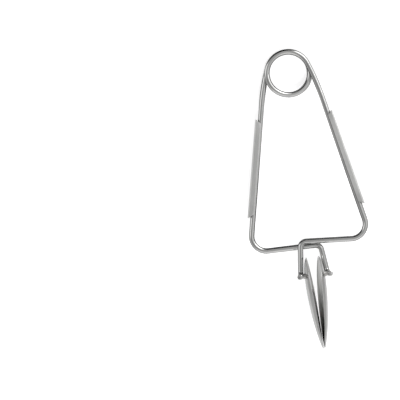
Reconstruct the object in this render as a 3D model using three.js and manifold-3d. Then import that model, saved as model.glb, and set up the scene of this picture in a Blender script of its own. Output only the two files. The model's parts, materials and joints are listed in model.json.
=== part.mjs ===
// Spring tongs for holding a snail shell at table: one length of round steel wire is wound into a
// coil spring at one end and bent into two arms that cross over, and each crossed end carries a
// dished steel jaw. Squeezing the arms opens the jaws and letting go closes them on the shell.
//
// Millimetres. The tongs lie on a table at z = 0 with the coil towards +Y and the jaws towards -Y.
// Inside the tongs the wire is laid out about the coil's axis: x to the right, y towards the top of
// the coil, z towards the side that the cut ends of the feet face.

import * as THREE from "three";
import { mergeVertices } from "three/addons/utils/BufferGeometryUtils.js";
import Module from "manifold-3d";

const wasm = await Module();
wasm.setup();

const degree = Math.PI / 180;

// Wire and coil
const wireDiameter = 3;
const coilDiameter = 23; // centre line to centre line
const layerGap = 0.45; // clear space between the two layers of wire
const seatGap = 0.3; // clear space between pieces that rest on each other

// Arms, crossbars, legs and feet, as lines through the middle of the wire
const armAngle = 11.8 * degree; // each arm from the long axis
const flareOut = 1.4; // how far the line of each arm passes outside the coil
const flareRadius = 130; // of the wide bend on which each arm leaves the coil
const crossbarDrop = 92.9; // from the coil's axis to the corners of the crossbars
const rightBarRise = 4 * degree; // how the right arm's crossbar climbs from its corner to the leg beyond the middle
const leftBarRise = -0.5 * degree; // and the left arm's, which lies lower there
const cornerRadius = 8;
const legSpacing = 10.4; // between the legs where they leave the crossbars
const legRadius = 3.2;
const footDrop = 15.9; // from the corners of the crossbars to the feet
const footSpacing = 14.6; // between the two feet, on the middle plane
const footRadius = 2.8;
const footReach = 11; // from the middle plane to the cut end of a foot

// Finger grips, folded from sheet
const gripDrop = 22.8; // from the coil's axis to the upper end of the grips
const gripLength = 53;
const gripSheet = 0.5;
const gripRise = 1.3; // how far the grip stands out beyond the wire
const gripLap = 1.7; // how far its flanges lap the wire
const gripEndCut = 2.2; // how much shorter the flanges are than the web at each end
const gripFoldRadius = 0.8;

// Jaws, dished from sheet
const jawLength = 50;
const jawWidth = 25;
const jawDepth = 3.7;
const jawSheet = 0.7;
const jawRim = 1; // width of the flat rim
const jawTop = 9.7; // from the foot to the upper end of the jaw
const jawOffset = 2.5; // middle of the jaw in front of the middle plane
const jawTwist = 4.5 * degree; // each jaw, and the foot along its back, opens a little to the front
const jawBow = 0.5; // how far the rim bows towards the other jaw
const widthPower = 0.5;
const depthPower = 0.65;
const widthLeanShare = 0.2; // the outline is widest a little above its middle
const depthLeanShare = 0.22; // and the bowl is deepest there

// Welds between the feet and the backs of the jaws
const weldLength = 4.5;
const weldLeg = 1.3;
const weldRise = 50 * degree; // how far the weld climbs round the foot

// Mesh counts
const wireSides = 12;
const coilStepsPerTurn = 24;
const measureStepsPerTurn = 360;
const bendStep = 13 * degree;
const flareStep = 3 * degree;
const foldSegments = 3;
const weldSegments = 4;
const jawRings = 7;
const jawSpokes = 36;
const seatSteps = 40;
const searchSteps = 40;
const searchLimit = 30 * degree;

const wireRadius = wireDiameter / 2;
const coilRadius = coilDiameter / 2;
const layerOffset = (wireDiameter + layerGap) / 2;
const armOffset = coilRadius + flareOut;
const flareTurn = Math.acos((flareRadius - armOffset) / (flareRadius - coilRadius));
const coilEndAngle = armAngle + flareTurn;

const wireSteel = new THREE.MeshStandardMaterial({ color: 0xbcbcb8, roughness: 0.16, metalness: 1 });
const jawSteel = new THREE.MeshStandardMaterial({ color: 0xc2c2be, roughness: 0.1, metalness: 1 });
const gripSteel = new THREE.MeshStandardMaterial({ color: 0xb4b4ae, roughness: 0.34, metalness: 1 });
const weldSteel = new THREE.MeshStandardMaterial({ color: 0xa8a8a4, roughness: 0.3, metalness: 1 });

// A line given by stations, each with a point and a direction, one ring of the wire to each station
class StationLine extends THREE.Curve {
  constructor(stations) {
    super();
    this.stations = stations;
  }
  at(t, field, target) {
    const place = t * (this.stations.length - 1);
    const low = Math.min(Math.floor(place), this.stations.length - 2);
    return target.lerpVectors(this.stations[low][field], this.stations[low + 1][field], place - low);
  }
  getPoint(t, target = new THREE.Vector3()) {
    return this.at(t, "point", target);
  }
  getTangentAt(t, target = new THREE.Vector3()) {
    return this.at(t, "direction", target).normalize();
  }
  getSpacedPoints(divisions) {
    return this.getPoints(divisions);
  }
}

// Stations along straight runs joined by round bends, with one radius for each inner corner
function bentStations(corners, radii) {
  const along = corners.slice(1).map((c, i) => c.clone().sub(corners[i]).normalize());
  const stations = [{ point: corners[0].clone(), direction: along[0].clone() }];
  radii.forEach((radius, i) => {
    const before = along[i];
    const after = along[i + 1];
    const turn = before.angleTo(after);
    const start = corners[i + 1].clone().addScaledVector(before, -radius * Math.tan(turn / 2));
    const inward = after.clone().addScaledVector(before, -before.dot(after)).normalize();
    const centre = start.clone().addScaledVector(inward, radius);
    const steps = Math.ceil(turn / bendStep);
    for (let step = 0; step <= steps; step++) {
      const angle = (turn * step) / steps;
      const point = centre.clone();
      point.addScaledVector(before, radius * Math.sin(angle));
      point.addScaledVector(inward, -radius * Math.cos(angle));
      const direction = before.clone().multiplyScalar(Math.cos(angle));
      direction.addScaledVector(inward, Math.sin(angle));
      stations.push({ point, direction });
    }
  });
  stations.push({ point: corners.at(-1).clone(), direction: along.at(-1).clone() });
  return stations;
}

// The coil: the left arm's wire climbs over the top in the back layer, passes to the front layer
// round the bottom, and goes over the top again to the right arm
function coilStations(stepsPerTurn) {
  const start = Math.PI - coilEndAngle;
  const turning = Math.PI * 3 - coilEndAngle * 2;
  const steps = Math.ceil((turning / (Math.PI * 2)) * stepsPerTurn);
  return Array.from({ length: steps + 1 }, (_, step) => {
    const angle = start - (turning * step) / steps;
    const share = THREE.MathUtils.clamp(-angle / Math.PI, 0, 1);
    const climb = share * share * (3 - 2 * share);
    const climbing = ((6 * share * (1 - share)) / Math.PI) * layerOffset * 2;
    return {
      point: new THREE.Vector3(
        coilRadius * Math.cos(angle),
        coilRadius * Math.sin(angle),
        layerOffset * (2 * climb - 1),
      ),
      direction: new THREE.Vector3(
        coilRadius * Math.sin(angle),
        -coilRadius * Math.cos(angle),
        climbing,
      ).normalize(),
    };
  });
}

// The wide bend from the coil's end into an arm: side 1 is the right arm, in the front layer of wire,
// and -1 the left arm, in the back layer
function flareStations(side) {
  const aside = coilRadius - flareRadius;
  const start = coilEndAngle - seatGap / flareRadius;
  const steps = Math.ceil((start - armAngle) / flareStep);
  return Array.from({ length: steps + 1 }, (_, step) => {
    const angle = start + ((armAngle - start) * step) / steps;
    return {
      point: new THREE.Vector3(
        side * (flareRadius * Math.cos(angle) + aside * Math.cos(coilEndAngle)),
        flareRadius * Math.sin(angle) + aside * Math.sin(coilEndAngle),
        side * layerOffset,
      ),
      direction: new THREE.Vector3(side * Math.sin(angle), -Math.cos(angle), 0),
    };
  });
}

// Clear space between stretches of the coil that are more than half a turn apart, on close points
function leastSelfGap() {
  const stations = coilStations(measureStepsPerTurn);
  const apart = measureStepsPerTurn / 2;
  let least = Infinity;
  stations.forEach((a, i) => {
    for (let j = i + apart; j < stations.length; j++)
      least = Math.min(least, a.point.distanceTo(stations[j].point));
  });
  return least - wireDiameter;
}

function wireSection() {
  const points = Array.from({ length: wireSides }, (_, i) => {
    const angle = (i * 2 * Math.PI) / wireSides;
    return new THREE.Vector2(wireRadius * Math.cos(angle), wireRadius * Math.sin(angle));
  });
  return new THREE.Shape(points);
}

function wireGeometry(stations) {
  return new THREE.ExtrudeGeometry(wireSection(), {
    steps: stations.length - 1,
    extrudePath: new StationLine(stations),
    bevelEnabled: false,
  });
}

// Boolean helpers
function solid(geometry) {
  const bare = geometry.clone();
  bare.deleteAttribute("normal");
  bare.deleteAttribute("uv");
  const merged = mergeVertices(bare);
  return new wasm.Manifold(
    new wasm.Mesh({
      numProp: 3,
      vertProperties: new Float32Array(merged.attributes.position.array),
      triVerts: new Uint32Array(merged.index.array),
    }),
  );
}

function geometryOf(made) {
  const mesh = made.getMesh();
  const geometry = new THREE.BufferGeometry();
  geometry.setAttribute("position", new THREE.BufferAttribute(mesh.vertProperties, 3));
  geometry.setIndex(new THREE.BufferAttribute(mesh.triVerts, 1));
  geometry.computeVertexNormals();
  return geometry;
}

// Finger grip: x runs outwards from the middle of the wire, y along the arm towards the coil and
// z across the web. The flanges straddle the outer side of the wire.
function gripGeometry() {
  const webOuter = wireRadius + gripRise;
  const webInner = webOuter - gripSheet;
  const flangeEdge = wireRadius - gripLap;
  const innerHalf = wireRadius + seatGap;
  const outerHalf = innerHalf + gripSheet;
  const inside = gripFoldRadius - gripSheet;
  const channel = new THREE.Shape();
  channel.moveTo(flangeEdge, -outerHalf);
  channel.lineTo(webOuter - gripFoldRadius, -outerHalf);
  channel.absarc(webOuter - gripFoldRadius, gripFoldRadius - outerHalf, gripFoldRadius, -Math.PI / 2, 0);
  channel.absarc(webOuter - gripFoldRadius, outerHalf - gripFoldRadius, gripFoldRadius, 0, Math.PI / 2);
  channel.lineTo(flangeEdge, outerHalf);
  channel.lineTo(flangeEdge, innerHalf);
  channel.absarc(webInner - inside, innerHalf - inside, inside, Math.PI / 2, 0, true);
  channel.absarc(webInner - inside, inside - innerHalf, inside, 0, -Math.PI / 2, true);
  channel.lineTo(flangeEdge, -innerHalf);
  channel.closePath();
  const folded = new THREE.ExtrudeGeometry(channel, {
    depth: gripLength,
    steps: 1,
    curveSegments: foldSegments,
    bevelEnabled: false,
  });
  folded.rotateX(Math.PI / 2);

  // The side view that trims both ends of the flanges at a slant
  const side = new THREE.Shape();
  side.moveTo(flangeEdge, -gripEndCut);
  side.lineTo(webInner, 0);
  side.lineTo(webOuter + gripSheet, 0);
  side.lineTo(webOuter + gripSheet, -gripLength);
  side.lineTo(webInner, -gripLength);
  side.lineTo(flangeEdge, gripEndCut - gripLength);
  side.closePath();
  const slab = new THREE.ExtrudeGeometry(side, {
    depth: wireDiameter * 4,
    steps: 1,
    bevelEnabled: false,
  });
  slab.translate(0, 0, -wireDiameter * 2);
  return geometryOf(solid(folded).intersect(solid(slab)));
}

// Where a bowed share (1 - s * s) ** power * (1 + lean * s) is largest, and how large it is
function peakOf(power, lean) {
  const spread = lean * (1 + 2 * power);
  const s = lean === 0 ? 0 : (Math.sqrt(power * power + lean * spread) - power) / spread;
  return (1 - s * s) ** power * (1 + lean * s);
}

const widthPeak = peakOf(widthPower, widthLeanShare);
const depthPeak = peakOf(depthPower, depthLeanShare);

// The rim bows forward in the middle of its length
function rimLine(y) {
  return jawBow * ((2 * y / jawLength) ** 2 - 1);
}

// Height of a dished surface, in a bowl of the given half length, half width and depth under the rim
function dish(y, z, half) {
  const s = y / half.length;
  const across = ((z / half.width) * widthPeak) / (1 + widthLeanShare * s);
  const left = Math.max(0, 1 - s * s - across * across);
  return rimLine(y) + (half.depth * left ** depthPower * (1 + depthLeanShare * s)) / depthPeak;
}

const outerBowl = { length: jawLength / 2, width: jawWidth / 2, depth: jawDepth };
const innerBowl = {
  length: outerBowl.length - jawRim,
  width: outerBowl.width - jawRim,
  depth: jawDepth - jawSheet,
};

// Jaw: x runs from the rim to the back of the bowl, y along the jaw towards its upper end and z
// across it. The ends of the rim are at x = 0.
function jawGeometry() {
  const positions = [];
  const triangles = [];
  const addSide = (half) => {
    const first = positions.length / 3;
    positions.push(dish(0, 0, half), 0, 0);
    for (let ring = 1; ring <= jawRings; ring++) {
      const rho = Math.sin((ring / jawRings) * (Math.PI / 2));
      for (let spoke = 0; spoke < jawSpokes; spoke++) {
        const angle = (spoke * 2 * Math.PI) / jawSpokes;
        const s = rho * Math.cos(angle);
        const y = s * half.length;
        const z = (rho * Math.sin(angle) * half.width * (1 + widthLeanShare * s)) / widthPeak;
        positions.push(ring === jawRings ? rimLine(y) : dish(y, z, half), y, z);
      }
    }
    return first;
  };
  const outer = addSide(outerBowl);
  const inner = addSide(innerBowl);
  const at = (first, ring, spoke) => first + 1 + (ring - 1) * jawSpokes + (spoke % jawSpokes);
  const addFace = (a, b, c, outwards) => triangles.push(...(outwards ? [a, b, c] : [a, c, b]));
  [outer, inner].forEach((first) => {
    const outwards = first === outer;
    for (let spoke = 0; spoke < jawSpokes; spoke++) {
      addFace(first, at(first, 1, spoke), at(first, 1, spoke + 1), outwards);
      for (let ring = 1; ring < jawRings; ring++) {
        addFace(at(first, ring, spoke), at(first, ring + 1, spoke), at(first, ring + 1, spoke + 1), outwards);
        addFace(at(first, ring, spoke), at(first, ring + 1, spoke + 1), at(first, ring, spoke + 1), outwards);
      }
    }
  });
  for (let spoke = 0; spoke < jawSpokes; spoke++) {
    const a = at(outer, jawRings, spoke);
    const b = at(outer, jawRings, spoke + 1);
    const c = at(inner, jawRings, spoke + 1);
    const d = at(inner, jawRings, spoke);
    addFace(a, d, c, true);
    addFace(a, c, b, true);
  }
  const geometry = new THREE.BufferGeometry();
  geometry.setAttribute("position", new THREE.Float32BufferAttribute(positions, 3));
  geometry.setIndex(triangles);
  geometry.computeVertexNormals();
  return geometry;
}

// The foot lies along z across the back of the jaw
const footY = jawLength / 2 - jawTop;
const legSplay = Math.atan((footSpacing - legSpacing) / 2 / (crossbarDrop + footDrop - legDrop(-1))); // of the shorter leg

// How far the foot's line stands off the jaw's own origin for the foot, and the leg above it, to clear
// the back of a jaw that leans outwards
function footSeat(lean) {
  const slope = Math.tan(legSplay + lean);
  let furthest = 0;
  for (let i = 0; i <= seatSteps; i++) {
    const above = (jawTop * i) / seatSteps;
    furthest = Math.max(furthest, dish(footY + above, 0, outerBowl) + slope * above);
  }
  return furthest + seatGap + wireRadius;
}

// The welds start where the front wire's foot comes out of its bend
const weldStart = layerOffset + footRadius + seatGap - jawOffset;

// How a jaw stands: side 1 is the right jaw, with its back to the right, and -1 the left one. It leans
// outwards at the top and turns about its length to open to the front.
function jawTurn(side, lean) {
  const tilt = new THREE.Quaternion().setFromAxisAngle(new THREE.Vector3(0, 0, 1), -side * lean);
  const twist = side > 0 ? jawTwist : Math.PI - jawTwist;
  return tilt.multiply(new THREE.Quaternion().setFromAxisAngle(new THREE.Vector3(0, 1, 0), twist));
}

// Middle of a foot's line, where it crosses the middle plane
function footMiddle(side) {
  return new THREE.Vector3((side * footSpacing) / 2, -crossbarDrop - footDrop, 0);
}

// Place of a jaw's own origin, with the foot across its back and the jaw's middle jawOffset in front
function jawPlace(side, lean) {
  const seat = new THREE.Vector3(footSeat(lean), footY, -side * jawOffset);
  return footMiddle(side).sub(seat.applyQuaternion(jawTurn(side, lean)));
}

// Smallest value in a range where rising(value) is no longer positive
function search(rising) {
  let low = -searchLimit;
  let high = searchLimit;
  for (let i = 0; i < searchSteps; i++) {
    const middle = (low + high) / 2;
    if (rising(middle) > 0) low = middle;
    else high = middle;
  }
  return (low + high) / 2;
}

function leastOver(geometry, matrix, value) {
  const position = geometry.getAttribute("position");
  const point = new THREE.Vector3();
  let least = Infinity;
  for (let i = 0; i < position.count; i++)
    least = Math.min(least, value(point.fromBufferAttribute(position, i).applyMatrix4(matrix)));
  return least;
}

// The jaws lean together until their rims all but meet on the middle plane
const jawShape = jawGeometry();
const unit = new THREE.Vector3(1, 1, 1);
const jawLean = search((lean) => {
  const matrix = new THREE.Matrix4().compose(jawPlace(1, lean), jawTurn(1, lean), unit);
  return leastOver(jawShape, matrix, (p) => p.x) - seatGap / 2;
});

// Where the line of a foot, which lies along its jaw, passes a distance in front of the middle plane
function footPoint(side, z) {
  const along = new THREE.Vector3(0, 0, side).applyQuaternion(jawTurn(side, jawLean));
  return footMiddle(side).addScaledVector(along, z / along.z);
}

// Weld fillet between the foot and the back of the jaw, above the foot for side 1, below for -1
function weldGeometry(side) {
  const footX = footSeat(jawLean);
  const clear = wireRadius + seatGap;
  const crown = (y) => dish(y, weldStart, outerBowl) + seatGap;
  const start = Math.acos(wireRadius / clear);
  const arc = Array.from({ length: weldSegments + 1 }, (_, i) => {
    const angle = start + (weldRise * i) / weldSegments;
    return [footX - clear * Math.cos(angle), footY + side * clear * Math.sin(angle)];
  });
  const footEdge = footY + side * clear * Math.sin(start);
  const toe = footEdge + side * weldLeg;
  const points = [[crown(toe), toe], [Math.max(crown(footEdge), crown(toe)), footEdge], ...arc.slice(1)];
  const shape = new THREE.Shape(points.map(([x, y]) => new THREE.Vector2(x, y)));
  return new THREE.ExtrudeGeometry(shape, { depth: weldLength, steps: 1, bevelEnabled: false });
}

// Where the line of an arm passes a distance below the coil's axis
function armPoint(side, drop) {
  const x = armOffset / Math.cos(armAngle) + drop * Math.tan(armAngle);
  return new THREE.Vector3(side * x, -drop, side * layerOffset);
}

// From the coil's axis to the end of the crossbar of an arm, where it turns down into its leg
function legDrop(side) {
  const length = armPoint(1, crossbarDrop).x + legSpacing / 2;
  return crossbarDrop - length * Math.tan(side > 0 ? rightBarRise : leftBarRise);
}

// One side of the tongs: the arm on that side and, across the middle, the jaw on the other
function armStations(side) {
  const flare = flareStations(side);
  const bent = bentStations(
    [
      flare.at(-1).point,
      armPoint(side, crossbarDrop),
      new THREE.Vector3((-side * legSpacing) / 2, -legDrop(side), side * layerOffset),
      footPoint(-side, side * layerOffset),
      footPoint(-side, footReach),
    ],
    [cornerRadius, legRadius, footRadius],
  );
  return [...flare.slice(0, -1), ...bent];
}

function mesh(name, geometry, material) {
  const made = new THREE.Mesh(geometry, material);
  made.name = name;
  return made;
}

function gripGroup(side, name) {
  const grip = mesh(name, gripGeometry(), gripSteel);
  if (side < 0) grip.rotation.y = Math.PI;
  const arm = new THREE.Group();
  arm.position.copy(armPoint(side, gripDrop));
  arm.rotation.z = side * armAngle;
  arm.add(grip);
  return arm;
}

function jawGroup(side, name) {
  const group = new THREE.Group();
  group.quaternion.copy(jawTurn(side, jawLean));
  group.position.copy(jawPlace(side, jawLean));
  group.add(mesh(name, jawShape, jawSteel));
  [
    [1, "upper"],
    [-1, "lower"],
  ].forEach(([above, word]) => {
    const weld = mesh(name + "_" + word + "_weld", weldGeometry(above), weldSteel);
    weld.position.z = side > 0 ? weldStart : -weldStart - weldLength;
    group.add(weld);
  });
  return group;
}

function armGroup(side, arm, jaw) {
  const group = new THREE.Group();
  group.add(mesh(arm + "_arm_wire", wireGeometry(armStations(side)), wireSteel));
  group.add(gripGroup(side, arm + "_finger_grip"));
  group.add(jawGroup(-side, jaw + "_jaw"));
  return group;
}

console.log("least gap of the coil to itself: " + leastSelfGap().toFixed(3) + " mm");
const coil = mesh("coil_spring", wireGeometry(coilStations(coilStepsPerTurn)), wireSteel);
const leftArm = armGroup(-1, "left", "right");
const rightArm = armGroup(1, "right", "left");
const wireFrame = new THREE.Group();
wireFrame.add(coil, leftArm, rightArm);

// The tongs lie on the far edges of the jaws and the far side of the coil
function lowest(group, lean) {
  const turned = new THREE.Matrix4().makeRotationX(lean);
  let least = Infinity;
  group.traverse((o) => {
    if (o.isMesh) least = Math.min(least, leastOver(o.geometry, turned.clone().multiply(o.matrixWorld), (p) => p.z));
  });
  return least;
}
wireFrame.updateMatrixWorld(true);
const restLean = search((lean) => lowest(leftArm, lean) - lowest(coil, lean));
wireFrame.rotation.x = restLean;
wireFrame.updateMatrixWorld(true);
const bounds = new THREE.Box3().setFromObject(wireFrame, true);
const middle = bounds.getCenter(new THREE.Vector3());
wireFrame.position.set(-middle.x, -middle.y, -bounds.min.z);

const tongs = new THREE.Group();
tongs.add(wireFrame);
export default tongs;
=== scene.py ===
import json
import math

import bmesh
import bpy
import numpy as np
from mathutils import Matrix, Vector


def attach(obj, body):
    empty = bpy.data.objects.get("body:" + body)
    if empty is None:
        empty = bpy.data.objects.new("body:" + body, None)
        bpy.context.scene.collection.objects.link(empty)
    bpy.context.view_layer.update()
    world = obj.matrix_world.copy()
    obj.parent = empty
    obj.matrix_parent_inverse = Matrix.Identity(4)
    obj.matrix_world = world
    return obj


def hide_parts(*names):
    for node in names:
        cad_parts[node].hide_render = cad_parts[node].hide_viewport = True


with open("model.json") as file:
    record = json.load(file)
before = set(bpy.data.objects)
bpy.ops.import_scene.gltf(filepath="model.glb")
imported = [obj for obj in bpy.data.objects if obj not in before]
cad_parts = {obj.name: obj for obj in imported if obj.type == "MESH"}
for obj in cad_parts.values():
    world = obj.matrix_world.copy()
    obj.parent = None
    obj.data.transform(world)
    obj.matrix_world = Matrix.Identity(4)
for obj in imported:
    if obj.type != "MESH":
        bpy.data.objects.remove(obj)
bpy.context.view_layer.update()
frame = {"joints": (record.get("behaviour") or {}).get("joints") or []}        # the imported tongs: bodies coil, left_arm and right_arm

# Everything is laid out in the wire frame, in millimetres: the origin on the coil's axis, x to the
# right, y towards the top of the coil, z towards the side that the cut ends of the feet face.
MM = 0.001
HINGE = next(j for j in frame["joints"] if j["name"] == "left_arm_squeeze")
AXIS = Vector(HINGE["axis"])
LEAN = math.atan2(AXIS.y, AXIS.z)
WIRE_FRAME = Matrix.Translation(Vector(HINGE["pos_m"])) @ Matrix.Rotation(-LEAN, 4, "X")
LEFT, RIGHT = -1, 1                 # sides of the middle plane
BELOW, ABOVE = -1, 1                # sides of a foot

# Sizes of the wire, as in the part
WIRE_RADIUS = 1.5
COIL_RADIUS = 11.5
LAYER = 1.725                       # each layer of wire from the middle plane
SEAT_GAP = 0.3
ARM_ANGLE = math.radians(11.8)
ARM_OFFSET = 12.9                   # of the line of each arm from the coil's axis
FLARE_RADIUS = 130.0                # of the wide bend on which each arm leaves the coil
CROSSBAR_DROP = 92.9                # from the coil's axis to the corners of the crossbars
BAR_RISE = {LEFT: math.radians(-0.5), RIGHT: math.radians(4)}       # of each arm's crossbar to its leg
CORNER_RADIUS = 8.0
LEG_SPACING = 10.4
LEG_RADIUS = 3.2
FOOT_DROP = 15.9                    # from the corners of the crossbars to the feet
FOOT_SPACING = 14.6
FOOT_RADIUS = 2.8
FOOT_REACH = 11.0                   # from the middle plane to the cut end of a foot
CORNER_OUT = ARM_OFFSET / math.cos(ARM_ANGLE) + CROSSBAR_DROP * math.tan(ARM_ANGLE)
LEG_DROP = {side: CROSSBAR_DROP - (CORNER_OUT + LEG_SPACING / 2) * math.tan(rise)
            for side, rise in BAR_RISE.items()}
LEG_LENGTH = CROSSBAR_DROP + FOOT_DROP - LEG_DROP[LEFT]     # of the shorter leg
FLARE_TURN = math.acos((FLARE_RADIUS - ARM_OFFSET) / (FLARE_RADIUS - COIL_RADIUS))
COIL_END = ARM_ANGLE + FLARE_TURN

# How finely the wire is drawn, and its ends
WIRE_SIDES = 32
TURN_STEP = math.radians(1.5)
BEND_STEP = math.radians(4)
RUN_STEP = 3.0                      # along straight runs
FLARE_STEPS = 18
SLEEVE_TURN = math.radians(14)      # how far an arm runs on inside the coil's wire
SLEEVE_THIN = 0.012                 # and how much thinner it is there
END_ROUND, ROUND_STEPS = 0.42, 5    # rounding of a cut end
END_DOME, DOME_STEPS = 0.12, 5      # and how far its face swells
FACE_WEAR = 0.6                     # wear of that face
SHARP = math.radians(40)            # edges over this angle are drawn sharp

# Finger grips
GRIP_DROP = 22.8                    # from the coil's axis to their upper ends
GRIP_LENGTH = 53.0
GRIP_SHEET = 0.5
GRIP_RISE = 1.3                     # how far the web stands out beyond the wire
GRIP_LAP = 1.7                      # how far the flanges lap the wire
GRIP_END_CUT = 2.2                  # how much shorter they are than the web at each end
GRIP_FOLD = 0.8
GRIP_ROWS = 72
FLANGE_STEPS, FOLD_STEPS, WEB_STEPS = 9, 8, 4
GRIP_SHARP, GRIP_BEVEL = math.radians(50), 0.1
FOLD_WORN, LIP_WORN, TIP_WORN = (0.3, 0.9), 0.25, 0.3       # how far the wear spreads

# Jaws
JAW_LENGTH, JAW_WIDTH, JAW_DEPTH = 50.0, 25.0, 3.7
JAW_SHEET, JAW_RIM = 0.7, 1.0
WIDTH_POWER, DEPTH_POWER = 0.5, 0.65
WIDTH_LEAN, DEPTH_LEAN = 0.2, 0.22
JAW_BOW = 0.58                      # how far the rim bows towards the other jaw
JAW_TIP = 0.18                      # and how far its lower end curves in
TIP_START = 0.4                     # share of the half length at which it begins to
JAW_SNUG = 0.06                     # the jaws stand this much closer together than the solids
JAW_TWIST = math.radians(4.5)
JAW_LEAN = math.radians(3.12913)
JAW_OFFSET = 2.5                    # middle of the jaw in front of the middle plane
JAW_RINGS, JAW_SPOKES = 30, 128
JAW_TOP = 9.7                       # from the foot to the upper end of the jaw
SEAT_STEPS = 40
FOOT_Y = JAW_LENGTH / 2 - JAW_TOP
SOLID_BOW = 0.5                     # of the solids' rims
RIM_SHARP, RIM_BEVEL, RIM_WORN = math.radians(45), 0.22, 0.45

# Painted light in the hollows of the jaws: a painted highlight with a band of painted shade, standing in
# for what the hollows mirror and for the shade between the jaws. Heights are along the jaw from its
# middle, and depths are shares of the depth that the front rim shows.
PAINTED_HIGHLIGHT_HEIGHTS = -22.0, -14.0         # heights between which a hollow's painted highlight sets in
SHADE_HEIGHT = {LEFT: (4.0, 10.0), RIGHT: (-9.0, 0.0)}      # and its band of painted shade fades out
SHADE_DEPTH = {LEFT: (-0.3, 0.3), RIGHT: (0.66, 1.2)}       # depths of the band's two edges
SHADE_EDGES = 0.2, 0.3              # and how soft those are
SHADE_WIDENS, SHADE_SPREAD = -8.0, 0.035    # below this height it starts this much nearer per mm
SHADE_PALES, SHADE_PALE = (-10.0, 8.0), 0.35    # heights between which it grows paler by this share
SHOWN_DEPTH = 0.226                 # of the half width
HOLLOW_SHEET = 0.6                  # share of the sheet, from the back, that isn't part of the hollow and takes no painted light or shade

# Welds
WELD_START = LAYER + FOOT_RADIUS + SEAT_GAP - JAW_OFFSET
WELD_LENGTH = 4.5
WELD_ROWS = 36
WELD_CLIMB = math.radians(44)       # how far round the wire a bead reaches
WELD_SPREAD = 0.54                  # and how far along the jaw's back beyond that
WELD_TAPER, WELD_LEAST = 3.5, 0.08  # how it runs out at its ends
WELD_RIPPLE, WELD_RIPPLES = 0.04, 5.5   # share of its size by which it waves, and how many times
WELD_CORE = 0.97                    # share of the wire's radius at which it starts, inside the wire
WELD_OFF = 0.02                     # least distance of a bead from the line of the foot
WELD_SINK, WELD_TOE = 0.12, 0.08    # how far it sinks into the jaw, and how far its edge rises from there
WELD_BELLY = 0.58, 0.38             # its bend, as shares of the way from the wire to the edge
WELD_BACK = 1, 0.66, 0.33, 0.02     # points along the jaw's back, as shares of its leg
ARC_STEPS, BELLY_STEPS = 6, 8
WELD_WEAR = 0.3


def ease(value, low, high):
    t = min(1.0, max(0.0, (value - low) / (high - low)))
    return t * t * (3 - 2 * t)


# Shader nodes

class Nodes:
    """Short forms for making the shader nodes of a material or a world."""

    def __init__(self, owner):
        owner.use_nodes = True
        self.tree = owner.node_tree
        self.tree.nodes.clear()

    def fill(self, socket, value):
        """Give a socket a number, a vector or a colour, or link it to an output."""
        if isinstance(value, (int, float)):
            socket.default_value = value
        elif isinstance(value, tuple):
            socket.default_value = (*value, 1) if socket.type == "RGBA" else value
        else:
            self.tree.links.new(value, socket)

    def node(self, kind, *inputs, **values):
        """A node, with its first sockets filled in order and its named sockets or properties set."""
        made = self.tree.nodes.new("ShaderNode" + kind)
        for socket, value in zip(made.inputs, inputs):
            self.fill(socket, value)
        for key, value in values.items():
            name = key.replace("_", " ")
            if name in made.inputs:
                self.fill(made.inputs[name], value)
            else:
                setattr(made, key, value)
        return made

    def maths(self, operation, *values, clamp=False):
        return self.node("Math", *values, operation=operation, use_clamp=clamp).outputs[0]

    def smooth(self, value, low, high, to_low=0.0, to_high=1.0):
        """A smooth step from to_low at low to to_high at high."""
        made = self.node("MapRange", value, low, high, to_low, to_high, interpolation_type="SMOOTHSTEP")
        return made.outputs["Result"]

    def mix(self, share, a, b):
        """A colour between two, which are inputs 6 and 7 of the node."""
        made = self.node("Mix", share, data_type="RGBA")
        self.fill(made.inputs[6], a)
        self.fill(made.inputs[7], b)
        return made.outputs[2]


# The metals

# Noise: its scales along laid x, y and z, its detail, and the values between which it sets in
CLOUD = (0.12, 0.12, 0.05), 3.0, (0.35, 0.68)       # slow drift of the colour
SPOTS = (1.6, 1.6, 0.8), 2.0, (0.62, 0.78)          # dull spots
SCRATCHES = (0.7, 0.7, 3.2), 2.0, (0.66, 0.7)       # across the grain
DENTS = (0.45, 0.45, 0.22), 1.0                     # unevenness of the surface
GRAIN_DETAIL, GRAIN_SETS_IN = 4.0, (0.3, 0.75)
GRAIN_ROUGHNESS, NOISE_ROUGHNESS = 0.6, 0.55
# Dull spots: how much of the dark colour is left, and the roughness they add. Worn places: how far they
# turn to the light colour, how much lighter it is there, and the share of the roughness that they lose
DULL_SHADE, DULL_ROUGH = 0.62, 0.22
WORN_SHARE, WORN_LIGHT, WORN_SMOOTH = 0.55, 1.12, 0.3
SCRATCH_ROUGH = 0.8                 # of the spread of roughness, added in scratches
# Colours of the painted highlight and the painted shade in the hollows of the jaws
PAINTED_HIGHLIGHT_COLOUR, PAINTED_SHADE_COLOUR = (0.93, 0.93, 0.92), (0.04, 0.04, 0.039)
HOLLOW_SATIN = 0.34                 # added roughness under a hollow's painted highlight


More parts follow.
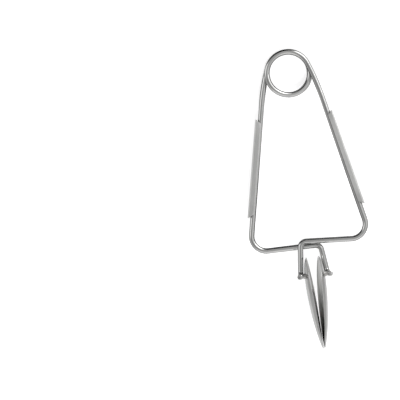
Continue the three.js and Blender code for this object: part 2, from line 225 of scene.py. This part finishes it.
def steel(name, dark, light, rough, rough_spread, streak, streak_depth, dent_depth, tarnish):
    """Metal with a drawn or brushed grain, from noise laid out on the straightened or flat metal and
    stretched by streak. Worn places are brighter and smoother, and the hollows of the jaws carry a
    painted highlight and painted shade."""
    material = bpy.data.materials.new(name)
    nodes = Nodes(material)
    laid = nodes.node("Attribute", attribute_name="laid").outputs["Vector"]
    worn = nodes.node("Attribute", attribute_name="wear").outputs["Fac"]
    # This attribute holds painted light: above zero a painted highlight, below zero painted shade
    painted_shading = nodes.node("Attribute", attribute_name="painted_shading").outputs["Fac"]

    def noise(scales, detail, roughness=NOISE_ROUGHNESS):
        place = nodes.node("VectorMath", laid, scales, operation="MULTIPLY").outputs[0]
        made = nodes.node("TexNoise", place, Scale=1.0, Detail=detail, Roughness=roughness)
        return made.outputs["Fac"]

    def patches(scales, detail, sets_in):
        return nodes.smooth(noise(scales, detail), *sets_in)

    grain = noise(streak, GRAIN_DETAIL, GRAIN_ROUGHNESS)

    # Colour: a slow drift, dull spots, bright worn places, then the painted highlight and painted shade of
    # a hollow
    base = nodes.mix(patches(*CLOUD), dark, light)
    dull = nodes.maths("MULTIPLY", patches(*SPOTS), tarnish)
    base = nodes.mix(dull, base, tuple(c * DULL_SHADE for c in dark))
    worn_light = tuple(min(1, c * WORN_LIGHT) for c in light)
    base = nodes.mix(nodes.maths("MULTIPLY", worn, WORN_SHARE), base, worn_light)
    bright = nodes.maths("MULTIPLY", painted_shading, 1.0, clamp=True)
    base = nodes.mix(bright, base, PAINTED_HIGHLIGHT_COLOUR)
    base = nodes.mix(nodes.maths("MULTIPLY", painted_shading, -1.0, clamp=True), base, PAINTED_SHADE_COLOUR)

    # Roughness: along the grain, more in dull spots, under a hollow's painted highlight and in scratches,
    # less where worn
    level = nodes.maths("MULTIPLY_ADD", nodes.smooth(grain, *GRAIN_SETS_IN), rough_spread, rough)
    level = nodes.maths("ADD", level, nodes.maths("MULTIPLY", dull, DULL_ROUGH))
    level = nodes.maths("ADD", level, nodes.maths("MULTIPLY", bright, HOLLOW_SATIN))
    scratched = nodes.maths("MULTIPLY", patches(*SCRATCHES), rough_spread * SCRATCH_ROUGH)
    level = nodes.maths("ADD", level, scratched)
    level = nodes.maths("SUBTRACT", level, nodes.maths("MULTIPLY", worn, rough * WORN_SMOOTH), clamp=True)

    fine = nodes.node("Bump", Strength=1.0, Distance=streak_depth * MM, Height=grain)
    soft = nodes.node("Bump", Strength=1.0, Distance=dent_depth * MM, Height=noise(*DENTS),
                      Normal=fine.outputs[0])
    shader = nodes.node("BsdfPrincipled", base, Metallic=1.0, Roughness=level, Normal=soft.outputs[0])
    nodes.node("OutputMaterial", shader.outputs[0])
    return material


WIRE_STEEL = steel(
    "drawn_wire_steel", dark=(0.54, 0.54, 0.535), light=(0.66, 0.66, 0.65), rough=0.05, rough_spread=0.08,
    streak=(5.0, 5.0, 0.16), streak_depth=0.006, dent_depth=0.03, tarnish=0.3)
JAW_STEEL = steel(
    "polished_jaw_steel", dark=(0.56, 0.56, 0.555), light=(0.65, 0.65, 0.64), rough=0.06, rough_spread=0.07,
    streak=(3.5, 0.5, 3.5), streak_depth=0.003, dent_depth=0.03, tarnish=0.25)
GRIP_STEEL = steel(
    "satin_grip_steel", dark=(0.62, 0.62, 0.61), light=(0.74, 0.74, 0.73), rough=0.40, rough_spread=0.14,
    streak=(4.5, 4.5, 0.12), streak_depth=0.012, dent_depth=0.03, tarnish=0.35)
WELD_STEEL = steel(
    "weld_bead_steel", dark=(0.42, 0.415, 0.405), light=(0.56, 0.555, 0.54), rough=0.28, rough_spread=0.18,
    streak=(3.0, 3.0, 3.0), streak_depth=0.03, dent_depth=0.08, tarnish=0.6)


# Making a piece

def add_object(name, data):
    obj = bpy.data.objects.new(name, data)
    bpy.context.scene.collection.objects.link(obj)
    return obj


def add_piece(name, points, faces, laid, wear, body, node, material, painted_shading=None):
    """A piece from points in the wire frame. laid is each point's place on the straightened or flat
    metal, in millimetres, wear is how exposed it is, and the last list is the painted light and shade of
    a jaw's hollow there, from 1, a painted highlight, to -1, painted shade; the materials read them."""
    mesh = bpy.data.meshes.new(name)
    mesh.from_pydata([WIRE_FRAME @ (Vector(p) * MM) for p in points], [], faces)
    mesh.polygons.foreach_set("use_smooth", [True] * len(mesh.polygons))
    place = mesh.attributes.new("laid", "FLOAT_VECTOR", "POINT")
    place.data.foreach_set("vector", np.asarray(laid, np.float32).ravel())
    for key, values in (("wear", wear), ("painted_shading", painted_shading or [0.0] * len(points))):
        shown = mesh.attributes.new(key, "FLOAT", "POINT")
        shown.data.foreach_set("value", np.asarray(values, np.float32).ravel())
    mesh.update()
    mesh.set_sharp_from_angle(angle=SHARP)
    mesh.materials.append(material)
    obj = add_object(name, mesh)
    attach(obj, body)
    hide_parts(node)


def tube_faces(rings, sides):
    """Faces between rings of that many points each, which follow each other in the list of points."""
    return [(a + k, a + (k + 1) % sides, a + sides + (k + 1) % sides, a + sides + k)
            for a in range(0, (rings - 1) * sides, sides) for k in range(sides)]


def bevelled(bm, edges, width, segments):
    """Points and faces of bm with those edges rounded. It is freed."""
    bmesh.ops.bevel(bm, geom=edges, offset=width, offset_type="OFFSET", segments=segments, profile=0.5,
                    affect="EDGES", clamp_overlap=True)
    bm.normal_update()
    bm.verts.index_update()
    points = [v.co.copy() for v in bm.verts]
    faces = [[v.index for v in f.verts] for f in bm.faces]
    bm.free()
    return points, faces


# Form of a jaw, and the place of its foot

def peak_of(power, lean):
    """Largest value over s of (1 - s * s) ** power * (1 + lean * s)."""
    spread = lean * (1 + 2 * power)
    s = (math.sqrt(power * power + lean * spread) - power) / spread
    return (1 - s * s) ** power * (1 + lean * s)


WIDTH_PEAK = peak_of(WIDTH_POWER, WIDTH_LEAN)
DEPTH_PEAK = peak_of(DEPTH_POWER, DEPTH_LEAN)
# Half length, half width and depth of the bowl's two skins
OUTER = (JAW_LENGTH / 2, JAW_WIDTH / 2, JAW_DEPTH)
INNER = (JAW_LENGTH / 2 - JAW_RIM, JAW_WIDTH / 2 - JAW_RIM, JAW_DEPTH - JAW_SHEET)


def rim_line(y, z, bow=JAW_BOW, tip=JAW_TIP):
    """Height of the rim over its ends. It bows forward in the middle and curves in at its lower end,
    more so in front, where the twist has opened the jaws."""
    s = 2 * y / JAW_LENGTH
    low = min(1.0, max(0.0, (-s - TIP_START) / (1 - TIP_START))) ** 2
    front = max(0.0, z) * 2 * math.sin(JAW_TWIST) if tip else 0.0
    return bow * (s * s - 1) - (tip + front) * low


def dish(y, z, half, bow=JAW_BOW, tip=JAW_TIP):
    """Height of a dished surface over the ends of its rim, in a bowl of that half length, half width and
    depth."""
    s = y / half[0]
    across = z / half[1] * WIDTH_PEAK / (1 + WIDTH_LEAN * s)
    left = max(0.0, 1 - s * s - across * across)
    bowl = half[2] * left ** DEPTH_POWER * (1 + DEPTH_LEAN * s) / DEPTH_PEAK
    return bowl + rim_line(y, z, bow, tip)


def foot_seat():
    """How far the foot's line stands off the jaw's own origin, so that it and the leg above clear the
    back of the jaw."""
    slope = math.tan(math.atan((FOOT_SPACING - LEG_SPACING) / 2 / LEG_LENGTH) + JAW_LEAN)
    heights = [JAW_TOP * i / SEAT_STEPS for i in range(SEAT_STEPS + 1)]
    furthest = max(dish(FOOT_Y + h, 0, OUTER, SOLID_BOW, 0) + slope * h for h in heights)
    return furthest + SEAT_GAP + WIRE_RADIUS


FOOT_OUT = foot_seat()
JAW_TURN = Matrix.Rotation(-JAW_LEAN, 4, "Z") @ Matrix.Rotation(JAW_TWIST, 4, "Y")
FOOT_MIDDLE = Vector((FOOT_SPACING / 2, -CROSSBAR_DROP - FOOT_DROP, 0))


def jaw_matrix(side):
    """Place of a jaw: x from the rim to the back, y towards the upper end, z along the foot."""
    place = FOOT_MIDDLE - JAW_TURN @ Vector((FOOT_OUT, FOOT_Y, -JAW_OFFSET))
    return Matrix.Diagonal((side, 1, 1, 1)) @ Matrix.Translation(place) @ JAW_TURN


def foot_point(side, z):
    """Where the line of a foot passes a distance in front of the middle plane."""
    along = JAW_TURN @ Vector((0, 0, 1))
    point = FOOT_MIDDLE + along * (z / along.z)
    return Vector((side * point.x, point.y, point.z))


# Making the wire

def stretch(a, b):
    """Points of a straight run after a, up to and with b."""
    steps = max(1, math.ceil((b - a).length / RUN_STEP))
    return [a.lerp(b, (i + 1) / steps) for i in range(steps)]


def bent_line(corners, radii):
    """Points and directions along straight runs joined by round bends."""
    along = [(b - a).normalized() for a, b in zip(corners, corners[1:])]
    points, directions = [corners[0]], [along[0]]
    for i, radius in enumerate(radii):
        before, after = along[i], along[i + 1]
        turn = before.angle(after)
        start = corners[i + 1] - before * radius * math.tan(turn / 2)
        inward = (after - before * before.dot(after)).normalized()
        centre = start + inward * radius
        for p in stretch(points[-1], start):
            points.append(p)
            directions.append(before)
        steps = math.ceil(turn / BEND_STEP)
        for step in range(1, steps + 1):
            angle = turn * step / steps
            points.append(centre + before * radius * math.sin(angle) - inward * radius * math.cos(angle))
            directions.append(before * math.cos(angle) + inward * math.sin(angle))
    for p in stretch(points[-1], corners[-1]):
        points.append(p)
        directions.append(along[-1])
    return points, directions


def coil_line():
    """From the left arm in the back layer over the top, round the bottom into the front layer and over
    the top again to the right arm."""
    start = math.pi - COIL_END
    turning = 3 * math.pi - 2 * COIL_END
    steps = math.ceil(turning / TURN_STEP)
    points, directions = [], []
    for step in range(steps + 1):
        angle = start - turning * step / steps
        x, y = COIL_RADIUS * math.cos(angle), COIL_RADIUS * math.sin(angle)
        share = min(max(-angle / math.pi, 0), 1)
        climb = share * share * (3 - 2 * share)
        climbing = 6 * share * (1 - share) / math.pi * LAYER * 2
        points.append(Vector((x, y, LAYER * (2 * climb - 1))))
        directions.append(Vector((y, -x, climbing)).normalized())
    return points, directions


def arm_line(side):
    """From inside the coil's end down the arm, across the middle and down the leg to the foot. The right
    arm is in the front layer and the left one in the back. Also says how many points are in the coil."""
    points, directions = [], []

    def turn_point(radius, aside, angle):
        points.append(Vector((side * (radius * math.cos(angle) + aside * math.cos(COIL_END)),
                              radius * math.sin(angle) + aside * math.sin(COIL_END), side * LAYER)))
        directions.append(Vector((side * math.sin(angle), -math.cos(angle), 0)))

    sleeve = math.ceil(SLEEVE_TURN / TURN_STEP)
    for step in range(sleeve + 1):
        turn_point(COIL_RADIUS, 0, COIL_END + SLEEVE_TURN * (1 - step / sleeve))
    inside = len(points)
    for step in range(FLARE_STEPS + 1):
        turn_point(FLARE_RADIUS, COIL_RADIUS - FLARE_RADIUS, COIL_END - FLARE_TURN * step / FLARE_STEPS)
    bent = bent_line(
        [points[-1],
         Vector((side * CORNER_OUT, -CROSSBAR_DROP, side * LAYER)),
         Vector((-side * LEG_SPACING / 2, -LEG_DROP[side], side * LAYER)),
         foot_point(-side, side * LAYER),
         foot_point(-side, FOOT_REACH)],
        [CORNER_RADIUS, LEG_RADIUS, FOOT_RADIUS])
    return points + bent[0][1:], directions + bent[1][1:], inside


def rings_of(points, directions, radii):
    """One ring of WIRE_SIDES points round each point of a line, turned along it without twist, and the
    place of each on the straightened wire."""
    across = Vector((0, 0, 1))
    rings, laid, length = [], [], 0.0
    for i, (p, d) in enumerate(zip(points, directions)):
        if i:
            length += (p - points[i - 1]).length
            across = directions[i - 1].rotation_difference(d) @ across
        across = (across - d * across.dot(d)).normalized()
        other = d.cross(across)
        for k in range(WIRE_SIDES):
            a = 2 * math.pi * k / WIRE_SIDES
            rings.append(p + (across * math.cos(a) + other * math.sin(a)) * radii[i])
            laid.append((radii[i] * math.cos(a), radii[i] * math.sin(a), length))
    return rings, laid


def wire(name, points, directions, inside, rounded_end, body, node):
    """A round wire. Its first points, up to inside, are the thinner run inside the coil's wire."""
    radii = [WIRE_RADIUS - SLEEVE_THIN if i < inside else WIRE_RADIUS for i in range(len(points))]
    wear = [0.0] * len(points)
    tip, tip_wear = points[-1], 0.0
    if rounded_end:
        last, way = points[-1], directions[-1]
        points, directions, radii, wear = points[:-1], directions[:-1], radii[:-1], wear[:-1]
        for i in range(ROUND_STEPS + 1):
            a = math.radians(90 * i / ROUND_STEPS)
            points.append(last - way * END_ROUND * (1 - math.sin(a)))
            radii.append(WIRE_RADIUS - END_ROUND * (1 - math.cos(a)))
            directions.append(way)
            wear.append(1.0)
        for i in range(1, DOME_STEPS):
            k = 1 - i / DOME_STEPS
            points.append(last + way * END_DOME * (1 - k * k))
            radii.append((WIRE_RADIUS - END_ROUND) * k)
            directions.append(way)
            wear.append(FACE_WEAR)
        tip, tip_wear = last + way * END_DOME, FACE_WEAR
    rings, laid = rings_of(points, directions, radii)
    faces = tube_faces(len(points), WIRE_SIDES)
    start, end = len(rings), len(rings) + 1
    last_ring = start - WIRE_SIDES
    rings += [points[0], tip]
    laid += [(0, 0, 0), (0, 0, laid[-1][2] + 0.1)]
    for k in range(WIRE_SIDES):
        n = (k + 1) % WIRE_SIDES
        faces.append((start, n, k))
        faces.append((end, last_ring + k, last_ring + n))
    worn = [w for w in wear for _ in range(WIRE_SIDES)] + [0.0, tip_wear]
    add_piece(name, rings, faces, laid, worn, body, node, WIRE_STEEL)


# Making a jaw

def painted_jaw_shading(side, p):
    """Painted light and shade in the hollow of a jaw, standing in for what it mirrors and for the shade
    between the jaws: from 1, a painted highlight at the upper end, to -1, a painted dark band towards the
    lower one.
    """
    s = 2 * p.y / JAW_LENGTH
    half_width = JAW_WIDTH / 2 * math.sqrt(max(0.01, 1 - s * s)) * (1 + WIDTH_LEAN * s) / WIDTH_PEAK
    depth = (p.x - rim_line(p.y, p.z)) / (half_width * SHOWN_DEPTH)
    start, end = SHADE_DEPTH[side]
    start += SHADE_SPREAD * min(0.0, p.y - SHADE_WIDENS)
    band = ease(depth, start, start + SHADE_EDGES[0]) * (1 - ease(depth, end, end + SHADE_EDGES[1]))
    dark = band * (1 - ease(p.y, *SHADE_HEIGHT[side])) * (1 - SHADE_PALE * ease(p.y, *SHADE_PALES))
    return ease(p.y, *PAINTED_HIGHLIGHT_HEIGHTS) * (1 - dark) - dark


def jaw(name, side, body, node):
    """A bowl dished from sheet: two skins and the flat rim between them."""
    bm = bmesh.new()

    def skin(half):
        """The middle point of a skin, and its rings of points out to the rim."""
        grid = []
        middle = bm.verts.new((dish(0, 0, half), 0, 0))
        for ring in range(1, JAW_RINGS + 1):
            rho = math.sin(ring / JAW_RINGS * math.pi / 2)
            line = []
            for spoke in range(JAW_SPOKES):
                angle = spoke * 2 * math.pi / JAW_SPOKES
                s = rho * math.cos(angle)
                y = s * half[0]
                z = rho * math.sin(angle) * half[1] * (1 + WIDTH_LEAN * s) / WIDTH_PEAK
                line.append(bm.verts.new((rim_line(y, z) if ring == JAW_RINGS else dish(y, z, half), y, z)))
            grid.append(line)
        return middle, grid

    skins = [skin(OUTER), skin(INNER)]
    for (middle, grid), turned in zip(skins, (False, True)):
        for k in range(JAW_SPOKES):
            n = (k + 1) % JAW_SPOKES
            loops = [(middle, grid[0][k], grid[0][n])]
            loops += [(near[k], far[k], far[n], near[n]) for near, far in zip(grid, grid[1:])]
            for loop in loops:
                bm.faces.new(loop[::-1] if turned else loop)
    rim_out, rim_in = (grid[-1] for _, grid in skins)
    for k in range(JAW_SPOKES):
        n = (k + 1) % JAW_SPOKES
        bm.faces.new((rim_out[k], rim_in[k], rim_in[n], rim_out[n]))
    bm.normal_update()
    rim = set(rim_out) | set(rim_in)
    sharp = [e for e in bm.edges if rim.issuperset(e.verts) and e.calc_face_angle() > RIM_SHARP]
    local, faces = bevelled(bm, sharp, RIM_BEVEL, 3)
    if side == LEFT:
        faces = [list(reversed(f)) for f in faces]
    place = jaw_matrix(side) @ Matrix.Translation((-JAW_SNUG, 0, 0))
    laid = [(p.z, p.y, p.x) for p in local]
    wear = [min(1.0, max(0.0, 1 - (p.x - rim_line(p.y, p.z)) / RIM_WORN)) for p in local]
    # Painted highlight and painted shade, on the hollow side of the sheet only
    painted_shading = [painted_jaw_shading(side, p) if p.x < dish(p.y, p.z, OUTER) - JAW_SHEET * HOLLOW_SHEET else 0.0
              for p in local]
    add_piece(name, [place @ p for p in local], faces, laid, wear, body, node, JAW_STEEL, painted_shading)


# Making a grip

def grip(name, side, body, node):
    """A channel folded from sheet over the outer side of the arm: its own x runs outwards from the
    middle of the wire, y towards the coil and z across the web."""
    web_out = WIRE_RADIUS + GRIP_RISE
    edge = WIRE_RADIUS - GRIP_LAP
    half_in = WIRE_RADIUS + SEAT_GAP

    def profile(offset):
        """The channel from one flange's edge over the web to the other's, on a skin that far inside."""
        radius = GRIP_FOLD - offset
        half = half_in + GRIP_SHEET - offset
        web = web_out - offset
        flange_to = web - radius
        points = [(edge + (flange_to - edge) * i / FLANGE_STEPS, -half) for i in range(FLANGE_STEPS + 1)]
        for i in range(1, FOLD_STEPS + 1):
            a = math.radians(-90 + 90 * i / FOLD_STEPS)
            points.append((flange_to + radius * math.cos(a), -half + radius + radius * math.sin(a)))
        points += [(web, (-half + radius) * (1 - i / WEB_STEPS)) for i in range(1, WEB_STEPS + 1)]
        return points + [(x, -z) for x, z in reversed(points[:-1])]

    def cut_back(x):
        """How far the sheet is cut back at both ends, from nothing at the web."""
        return GRIP_END_CUT * min(1, max(0, (web_out - GRIP_SHEET - x) / (web_out - GRIP_SHEET - edge)))

    bm = bmesh.new()
    skins = []
    for offset in (0.0, GRIP_SHEET):
        line = profile(offset)
        grid = []
        for j in range(GRIP_ROWS + 1):
            ring = []
            for x, z in line:
                cut = cut_back(x)
                top, bottom = -cut, -GRIP_LENGTH + cut
                ring.append(bm.verts.new((x, top + (bottom - top) * j / GRIP_ROWS, z)))
            grid.append(ring)
        skins.append(grid)
    outer, inner = skins
    across = len(outer[0])
    for j in range(GRIP_ROWS):
        for i in range(across - 1):
            bm.faces.new((outer[j][i], outer[j][i + 1], outer[j + 1][i + 1], outer[j + 1][i]))
            bm.faces.new((inner[j][i], inner[j + 1][i], inner[j + 1][i + 1], inner[j][i + 1]))
        for i in (0, across - 1):
            bm.faces.new((outer[j][i], outer[j + 1][i], inner[j + 1][i], inner[j][i]))
    for j in (0, GRIP_ROWS):
        for i in range(across - 1):
            bm.faces.new((outer[j][i], outer[j][i + 1], inner[j][i + 1], inner[j][i]))
    bmesh.ops.recalc_face_normals(bm, faces=bm.faces)
    bm.normal_update()
    sharp = [e for e in bm.edges if e.calc_face_angle() > GRIP_SHARP]
    local, faces = bevelled(bm, sharp, GRIP_BEVEL, 2)
    wear = []
    for x, y, z in local:
        from_fold = abs(math.hypot(x - web_out, abs(z) - half_in - GRIP_SHEET) - FOLD_WORN[0])
        from_end = min(-cut_back(x) - y, y + GRIP_LENGTH - cut_back(x))
        wear.append(max(0, 1 - min(1, from_fold / FOLD_WORN[1]), 1 - min(1, (x - edge) / LIP_WORN),
                        1 - min(1, from_end / TIP_WORN)))
    arm_out = ARM_OFFSET / math.cos(ARM_ANGLE) + GRIP_DROP * math.tan(ARM_ANGLE)
    place = Matrix.Translation((side * arm_out, -GRIP_DROP, side * LAYER))
    place = place @ Matrix.Rotation(side * ARM_ANGLE, 4, "Z")
    if side == LEFT:
        place = place @ Matrix.Rotation(math.pi, 4, "Y")
    laid = [(p.x, p.z, p.y) for p in local]
    add_piece(name, [place @ p for p in local], faces, laid, wear, body, node, GRIP_STEEL)


# Making a weld bead

def weld(name, side, above, body, node):
    """A bead along the foot, above or below it, that fills the corner between the wire and the back of
    the jaw and runs out to nothing at both ends."""
    points = []
    core = WIRE_RADIUS * WELD_CORE
    for j in range(WELD_ROWS + 1):
        t = j / WELD_ROWS
        z = WELD_START + WELD_LENGTH * t
        taper = max(WELD_LEAST, (1 - abs(2 * t - 1) ** WELD_TAPER) ** 0.5)
        full = taper * (1 + WELD_RIPPLE * math.cos(2 * math.pi * WELD_RIPPLES * t))
        climb = WELD_CLIMB * full
        leg = WIRE_RADIUS * math.sin(climb) + WELD_SPREAD * full
        back = [dish(FOOT_Y + above * leg * k, z, OUTER) - JAW_SNUG - WELD_SINK for k in WELD_BACK]
        ring = []
        for i in range(ARC_STEPS + 1):
            a = climb * i / ARC_STEPS
            ring.append((FOOT_OUT - core * math.cos(a), above * max(WELD_OFF, core * math.sin(a))))
        head, toe = ring[-1], (back[0] + WELD_TOE, above * leg)
        belly = tuple((1 - share) * h + share * e for share, h, e in zip(WELD_BELLY, head, toe))
        for i in range(1, BELLY_STEPS + 1):
            u = i / BELLY_STEPS
            ring.append(tuple((1 - u) ** 2 * h + 2 * u * (1 - u) * m + u * u * e
                              for h, m, e in zip(head, belly, toe)))
        ring += [(x, above * leg * k) for x, k in zip(back, WELD_BACK)]
        points += [(x, FOOT_Y + y, z) for x, y in ring]
    sides = len(ring)
    faces = tube_faces(WELD_ROWS + 1, sides)
    faces.append(tuple(reversed(range(sides))))
    faces.append(tuple(WELD_ROWS * sides + i for i in range(sides)))
    if above == side:
        faces = [tuple(reversed(f)) for f in faces]
    place = jaw_matrix(side)
    wear = [WELD_WEAR] * len(points)
    add_piece(name, [place @ Vector(p) for p in points], faces, points, wear, body, node, WELD_STEEL)


# The tongs

wire("coil_spring_wire", *coil_line(), 0, False, "coil", "coil_spring")
for side, word, other in ((RIGHT, "right", "left"), (LEFT, "left", "right")):
    body = word + "_arm"
    wire(word + "_arm_round_wire", *arm_line(side), True, body, word + "_arm_wire")
    grip(word + "_grip_channel", side, body, word + "_finger_grip")
    # The arms cross, so each carries the jaw of the other side
    jaw(other + "_jaw_bowl", -side, body, other + "_jaw")
    weld(other + "_jaw_upper_bead", -side, ABOVE, body, other + "_jaw_upper_weld")
    weld(other + "_jaw_lower_bead", -side, BELOW, body, other + "_jaw_lower_weld")


# Floor, light and camera

WHITE = 1.0, 1.0, 1.0
FLOOR_HALF = 3.0                    # in metres, as are all places from here on
FLOOR_UNDER = 0.0002                # how far it lies under the tongs
FLOOR_PAPER = 0.86, 0.86, 0.86
FLOOR_GLOW = 0.75                   # straight to the camera, over what the light gives it
# The floor in the metal: places along the tongs and the level there, then the level beside the tongs
# and beside their upper right, with the places where those begin
FLOOR_BANDS = ((-0.085, 0.8), (-0.045, 0.72), (-0.028, 0.7), (-0.022, 0.02), (0.006, 0.05), (0.020, 0.45),
               (0.050, 0.9), (0.0585, 0.06), (0.066, 0.08), (0.071, 0.5), (0.077, 0.5), (0.082, 0.04))
FLOOR_LEVEL, FLOOR_SIDES = 0.5, (0.020, 0.028)
FLOOR_BRIGHT, FLOOR_RIGHT, FLOOR_UPPER = 0.9, (0.014, 0.019), (0.010, 0.040)
# The studio seen in the metal: its level, the share of it that reaches the floor, and patches at an
# azimuth and an elevation, with an inner and an outer radius, in degrees, and the level inside
STUDIO_LEVEL, STUDIO_ON_FLOOR = 0.52, 0.4
STUDIO = (
    (108, 5, 30, 48, 0.02),
    (158, 32, 8, 25, 2.6),
    (48, 32, 7, 22, 7.0),
    (195, 66, 6, 30, 0.55),
    (5, 48, 6, 30, 1.7),
    (270, 12, 25, 65, 1.9),
)


def build_floor():
    """To the camera it is white paper that takes the shadow. In the metal it shows as light and dark
    bands across the tongs."""
    size = FLOOR_HALF
    mesh = bpy.data.meshes.new("floor")
    corners = [(-size, -size, 0), (size, -size, 0), (size, size, 0), (-size, size, 0)]
    mesh.from_pydata(corners, [], [(0, 1, 2, 3)])
    obj = add_object("floor", mesh)
    obj.location.z = -FLOOR_UNDER
    material = bpy.data.materials.new("floor_white")
    nodes = Nodes(material)
    path = nodes.node("LightPath").outputs
    mirrored = nodes.maths("MAXIMUM", path["Is Glossy Ray"], path["Is Transmission Ray"])

    diffuse = nodes.node("BsdfDiffuse", FLOOR_PAPER)
    glow = nodes.node("Emission", WHITE, nodes.maths("MULTIPLY", path["Is Camera Ray"], FLOOR_GLOW))
    paper = nodes.node("AddShader", diffuse.outputs[0], glow.outputs[0])

    place = nodes.node("SeparateXYZ", nodes.node("NewGeometry").outputs["Position"]).outputs
    level = FLOOR_BANDS[0][1]
    for (from_y, from_level), (to_y, to_level) in zip(FLOOR_BANDS, FLOOR_BANDS[1:]):
        step = nodes.smooth(place["Y"], from_y, to_y, 0.0, to_level - from_level)
        level = nodes.maths("ADD", step, level)
    outside = nodes.smooth(nodes.maths("ABSOLUTE", place["X"]), *FLOOR_SIDES)
    level = nodes.smooth(outside, 0.0, 1.0, level, FLOOR_LEVEL)
    right, upper = nodes.smooth(place["X"], *FLOOR_RIGHT), nodes.smooth(place["Y"], *FLOOR_UPPER)
    level = nodes.smooth(nodes.maths("MULTIPLY", right, upper), 0.0, 1.0, level, FLOOR_BRIGHT)
    bands = nodes.node("Emission", WHITE, level)

    both = nodes.node("MixShader", mirrored, paper.outputs[0], bands.outputs[0])
    nodes.node("OutputMaterial", both.outputs[0])
    mesh.materials.append(material)


def build_world():
    """A studio round the tongs: grey, with brighter and darker patches. Straight to the camera it is
    white."""
    world = bpy.data.worlds.new("studio")
    bpy.context.scene.world = world
    nodes = Nodes(world)
    way = nodes.node("TexCoord").outputs["Generated"]

    def along(azimuth, elevation):
        """Cosine of the angle to a direction: azimuth from the tongs' right, towards the coil."""
        a, e = math.radians(azimuth), math.radians(elevation)
        direction = (math.cos(a) * math.cos(e), math.sin(a) * math.cos(e), math.sin(e))
        return nodes.node("VectorMath", way, direction, operation="DOT_PRODUCT").outputs["Value"]

    level = 1.0
    for azimuth, elevation, inner, outer, share in STUDIO:
        edges = math.cos(math.radians(outer)), math.cos(math.radians(inner))
        patch = nodes.smooth(along(azimuth, elevation), *edges, 1.0, share)
        level = nodes.maths("MULTIPLY", level, patch)
    path = nodes.node("LightPath").outputs
    level = nodes.maths("MULTIPLY", level, STUDIO_LEVEL)
    dimmed = nodes.maths("MULTIPLY", path["Is Diffuse Ray"], 1 - STUDIO_ON_FLOOR)
    level = nodes.maths("MULTIPLY", level, nodes.maths("SUBTRACT", 1.0, dimmed))
    level = nodes.maths("MAXIMUM", level, path["Is Camera Ray"])
    nodes.node("OutputWorld", nodes.node("Background", WHITE, level).outputs[0])


# The photograph: the tongs lie turned in it, with the coil's axis at this pixel
PHOTO_SIZE = 400
PHOTO_SCALE = 1.866                 # pixels to a millimetre on the middle plane of the wire
PHOTO_TILT = math.radians(7.4)
COIL_AT = (288.3, 73.4)
CAMERA_DISTANCE = 1700.0
SENSOR = 36.0


def build_camera():
    """Straight over the wire's middle plane, on the middle of the photograph."""
    data = bpy.data.cameras.new("camera")
    data.sensor_fit = "HORIZONTAL"
    data.sensor_width = SENSOR
    data.lens = SENSOR * CAMERA_DISTANCE * PHOTO_SCALE / PHOTO_SIZE
    data.clip_start, data.clip_end = 0.05, 20
    right = (PHOTO_SIZE / 2 - COIL_AT[0]) / PHOTO_SCALE
    up = (COIL_AT[1] - PHOTO_SIZE / 2) / PHOTO_SCALE
    turned = Matrix.Rotation(-PHOTO_TILT, 4, "Z")
    spot = turned @ Vector((right, up, CAMERA_DISTANCE)) * MM
    obj = add_object("camera", data)
    obj.matrix_world = WIRE_FRAME @ Matrix.Translation(spot) @ turned
    bpy.context.scene.camera = obj


def lamp(name, place, at, size, power):
    data = bpy.data.lights.new(name, "AREA")
    data.shape = "RECTANGLE"
    data.size, data.size_y = size
    data.energy = power
    obj = add_object(name, data)
    obj.location = place
    obj.rotation_euler = (Vector(at) - Vector(place)).to_track_quat("-Z", "Y").to_euler()
    return obj


build_floor()
build_world()
build_camera()
key = lamp("key_lamp", place=(0.15, -1.1, 1.1), at=(0.02, 0, 0), size=(0.6, 0.6), power=9.0)
key.visible_glossy = False
lamp("side_lamp", place=WIRE_FRAME @ Vector((0.27, 0.06, 0.18)), at=WIRE_FRAME @ Vector((0.015, 0, 0)),
     size=(0.13, 0.11), power=0.08)

bpy.context.scene.view_settings.view_transform = "Standard"
